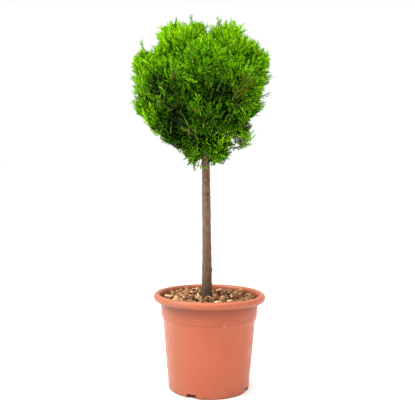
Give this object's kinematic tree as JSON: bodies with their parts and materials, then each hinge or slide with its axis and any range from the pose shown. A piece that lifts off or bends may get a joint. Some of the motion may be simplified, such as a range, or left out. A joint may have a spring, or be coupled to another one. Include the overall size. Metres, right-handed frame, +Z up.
{
  "type": "standard lollipop topiary conifer in a nursery pot",
  "caption": "Clipped ball of fern-like conifer foliage on a clear woody stem, growing in a round tapered plastic pot topped with bark mulch; a patio or entrance plant.",
  "frame": {"origin": "middle of the pot's underside, on the ground, on the pot's axis", "axes": "+Z up; the plant's best side faces -Y; +X to the right seen from the front"},
  "size_m": [0.3925, 0.3584, 1.0373],
  "materials": {
    "pot_plastic": "satin terracotta-coloured moulded plastic",
    "potting_soil": "dark moist potting mix",
    "bark_chips": "coarse tan and brown bark chips",
    "trunk_bark": "grey-brown fibrous bark",
    "bough_bark": "red-brown thin bark",
    "foliage": "bright yellow-green scale-leaf sprays, darker inside"
  },
  "bodies": {
    "root": {"pot": "pot_plastic", "soil": "potting_soil", "bark_mulch": "bark_chips", "trunk": "trunk_bark", "bough_top_left": "bough_bark", "bough_top_right": "bough_bark", "bough_top_back": "bough_bark", "bough_upper_front": "bough_bark", "bough_side_left": "bough_bark", "bough_side_right": "bough_bark", "bough_front_left": "bough_bark", "bough_front_right": "bough_bark", "bough_back_left": "bough_bark", "bough_back_right": "bough_bark", "bough_low_left": "bough_bark", "bough_low_right": "bough_bark", "bough_low_front": "bough_bark", "bough_low_back": "bough_bark", "bough_spur_right": "bough_bark", "bough_tuft_left": "bough_bark", "bough_tuft_right": "bough_bark", "bough_tuft_back": "bough_bark", "foliage_top_left": "foliage", "foliage_top_right": "foliage", "foliage_top_back": "foliage", "foliage_upper_front": "foliage", "foliage_side_left": "foliage", "foliage_side_right": "foliage", "foliage_front_left": "foliage", "foliage_front_right": "foliage", "foliage_back_left": "foliage", "foliage_back_right": "foliage", "foliage_low_left": "foliage", "foliage_low_right": "foliage", "foliage_low_front": "foliage", "foliage_low_back": "foliage", "foliage_spur_right": "foliage", "foliage_tuft_left": "foliage", "foliage_tuft_right": "foliage", "foliage_tuft_back": "foliage"}
  },
  "joints": []
}
